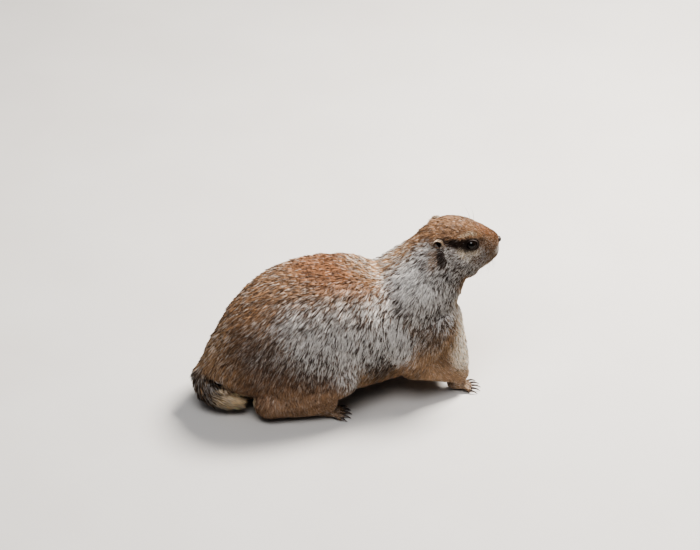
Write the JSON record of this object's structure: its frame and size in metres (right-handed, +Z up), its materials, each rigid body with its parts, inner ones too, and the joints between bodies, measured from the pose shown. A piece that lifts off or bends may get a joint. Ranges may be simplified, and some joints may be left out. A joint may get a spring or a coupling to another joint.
{
  "type": "prairie dog model",
  "caption": "Life-size still model of a plump adult prairie dog crouching on all fours, head raised and turned a little to its right, short tail curled beside the rump.",
  "frame": {"origin": "on the floor, under the middle of the model's bounding box", "axes": "+X towards the nose, +Y to the animal's left, +Z up"},
  "size_m": [0.271, 0.1172, 0.1582],
  "materials": {
    "back_coat": "short coat, cinnamon grizzled with dark and silvery hairs",
    "head_coat": "very short coat, cinnamon with a dark band at the eye",
    "limb_coat": "short warm buff coat",
    "dark_tail_coat": "blackish-brown tail hair",
    "pale_tail_coat": "cream tail hair",
    "ear_skin": "thin, finely haired skin",
    "nose_skin": "dark, slightly moist skin",
    "eye_surface": "polished, nearly black"
  },
  "bodies": {
    "root": {"ear_left": "ear_skin", "ear_right": "ear_skin", "eye_left": "eye_surface", "eye_right": "eye_surface", "forearm_left": "limb_coat", "forearm_right": "limb_coat", "forepaw_left": "limb_coat", "forepaw_right": "limb_coat", "head": "head_coat", "hind_foot_left": "limb_coat", "hind_foot_right": "limb_coat", "neck": "back_coat", "nose": "nose_skin", "shank_left": "limb_coat", "shank_right": "limb_coat", "tail_middle": "dark_tail_coat", "tail_root": "limb_coat", "tail_tip": "pale_tail_coat", "thigh_left": "back_coat", "thigh_right": "back_coat", "torso": "back_coat", "upper_arm_left": "back_coat", "upper_arm_right": "back_coat"}
  },
  "joints": []
}
